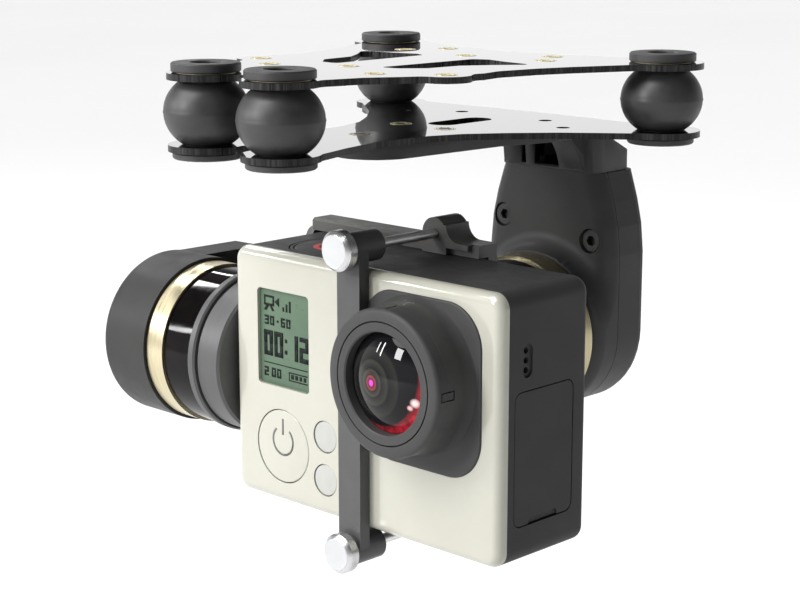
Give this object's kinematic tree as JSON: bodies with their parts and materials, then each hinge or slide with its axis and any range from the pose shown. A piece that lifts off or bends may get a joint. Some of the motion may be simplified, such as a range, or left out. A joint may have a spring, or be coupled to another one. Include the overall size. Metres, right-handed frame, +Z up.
{
  "type": "camera gimbal",
  "caption": "Hanging two-axis brushless camera gimbal on rubber isolators, with tilt and roll motors and a small action camera clamped in its cradle.",
  "frame": {"origin": "centre of the rectangular pattern of four mounting holes, on the upper plate's top face", "axes": "+Z up, out of the top face; the lens looks along -Y; the tilt motor is on the -X side and the roll motor at the +Y end"},
  "size_m": [0.0866, 0.0867, 0.077],
  "materials": {
    "plate_black": "polished black fibreglass laminate",
    "rubber": "matte moulded rubber",
    "housing_grey": "dark grey satin, fine moulded grain",
    "steel_screw": "blackened",
    "circuit_board": "solder mask",
    "cast_grey": "machined",
    "laminated_steel": "laminated",
    "copper_wire": "enamelled",
    "bright_steel": "turned and polished",
    "bell_black": "gloss black anodised",
    "gold": "champagne anodised, turned",
    "disc_grey": "turned, satin",
    "clamp_grey": "grey anodised",
    "camera_grey": "fine moulded texture",
    "ivory": "glossy, slightly warm",
    "lens_black": "satin",
    "lens_glass": "coated glass",
    "display": "reflective display behind a clear window",
    "indicator": "frosted window",
    "battery": "wrapped"
  },
  "bodies": {
    "root": {"upper_plate": "plate_black", "isolator_front_left": "rubber", "isolator_front_right": "rubber", "isolator_rear_left": "rubber", "isolator_rear_right": "rubber"},
    "lower_deck": {"lower_plate": "plate_black", "roll_bracket": "housing_grey", "bracket_screws": "steel_screw", "roll_front_cover": "housing_grey", "roll_rear_shell": "housing_grey", "roll_cover_screws": "steel_screw", "controller_board": "circuit_board", "roll_stator_mount": "cast_grey", "roll_stator_core": "laminated_steel", "roll_windings": "copper_wire", "roll_bearings": "bright_steel"},
    "roll_arm": {"roll_bell": "bell_black", "roll_gold_ring": "gold", "roll_magnets": "laminated_steel", "roll_shaft": "bright_steel", "roll_shaft_clip": "steel_screw", "roll_output_disc": "disc_grey", "roll_arm": "housing_grey", "roll_arm_screws": "steel_screw", "pitch_motor_cap": "housing_grey", "pitch_cap_screws": "steel_screw", "pitch_stator_mount": "cast_grey", "pitch_stator_core": "laminated_steel", "pitch_windings": "copper_wire", "pitch_bearings": "bright_steel"},
    "camera_cradle": {"pitch_bell": "bell_black", "pitch_gold_ring": "gold", "pitch_magnets": "laminated_steel", "pitch_shaft": "bright_steel", "pitch_shaft_clip": "steel_screw", "pitch_output_hub": "disc_grey", "hub_screws": "steel_screw", "cradle": "housing_grey", "cradle_screws": "steel_screw", "imu_sensor": "circuit_board", "clamp_bar": "clamp_grey", "camera_body": "camera_grey", "camera_front_plate": "ivory", "camera_lens_bezel": "lens_black", "camera_lens_ring": "lens_black", "camera_front_glass": "lens_glass", "camera_lens_cell": "lens_black", "camera_sensor_board": "circuit_board", "camera_battery": "battery", "camera_chassis": "cast_grey", "camera_lcd": "display", "camera_indicators": "indicator", "camera_side_door": "camera_grey"},
    "top_screw": {"top_thumb_screw": "bright_steel"},
    "bottom_screw": {"bottom_thumb_screw": "bright_steel"},
    "shutter_key": {"shutter_button": "camera_grey"},
    "power_key": {"power_button": "ivory"}
  },
  "joints": [
    {"name": "deck_travel", "type": "slide", "parent": "root", "child": "lower_deck", "axis": [0, 0, 1], "range_m": [-0.0015, 0.0015], "stiffness_N_per_m": 6000, "springref_m": 0.00023, "deforming": ["isolator_front_left", "isolator_front_right", "isolator_rear_left", "isolator_rear_right"]},
    {"name": "roll", "type": "hinge", "parent": "lower_deck", "child": "roll_arm", "pos_m": [0, 0.0299, -0.04895], "axis": [0, 1, 0], "range_deg": [-35, 35]},
    {"name": "pitch", "type": "hinge", "parent": "roll_arm", "child": "camera_cradle", "pos_m": [-0.035, -0.0142, -0.04895], "axis": [1, 0, 0], "range_deg": [-45, 90]},
    {"name": "top_screw_turn", "type": "hinge", "parent": "camera_cradle", "child": "top_screw", "pos_m": [0.0116, -0.0268, -0.0255], "axis": [0, -1, 0], "continuous": true},
    {"name": "bottom_screw_turn", "type": "hinge", "parent": "camera_cradle", "child": "bottom_screw", "pos_m": [0.0116, -0.0268, -0.0724], "axis": [0, -1, 0], "continuous": true},
    {"name": "shutter_press", "type": "slide", "parent": "camera_cradle", "child": "shutter_key", "axis": [0, 0, -1], "range_m": [0, 0.0005], "stiffness_N_per_m": 300},
    {"name": "power_press", "type": "slide", "parent": "camera_cradle", "child": "power_key", "axis": [0, 1, 0], "range_m": [0, 0.0005], "stiffness_N_per_m": 300}
  ]
}
